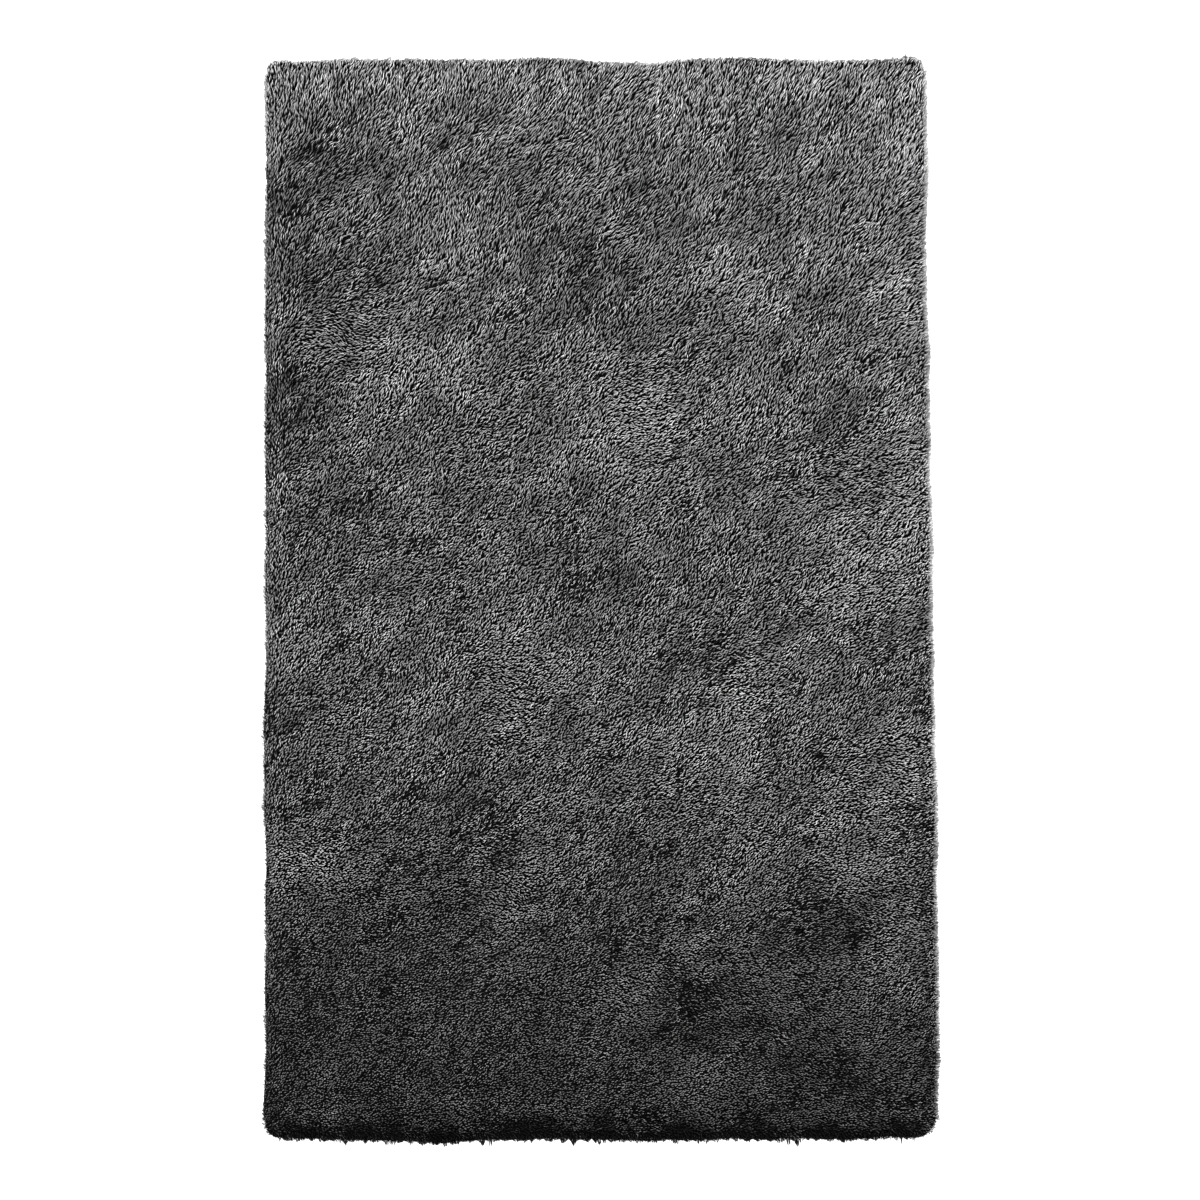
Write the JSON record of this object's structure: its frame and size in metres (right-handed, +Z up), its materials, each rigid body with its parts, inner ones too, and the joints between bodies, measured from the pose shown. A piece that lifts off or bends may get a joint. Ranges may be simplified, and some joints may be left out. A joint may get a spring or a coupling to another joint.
{
  "type": "shag rug",
  "caption": "Oblong area rug of thick charcoal shag pile lying flat, lumpy on top, with locks of yarn standing out round its rim.",
  "frame": {"origin": "on the floor, under the middle of the rug's box", "axes": "+Z up, +Y along the rug to its far end, +X across it"},
  "size_m": [1.517, 2.4684, 0.0544],
  "materials": {
    "pile_yarn": "dull charcoal yarn, lighter at its tips and near black between the tufts",
    "backing_cloth": "plain woven backing, matte"
  },
  "bodies": {
    "root": {"shag_rug": "pile_yarn"}
  },
  "joints": []
}
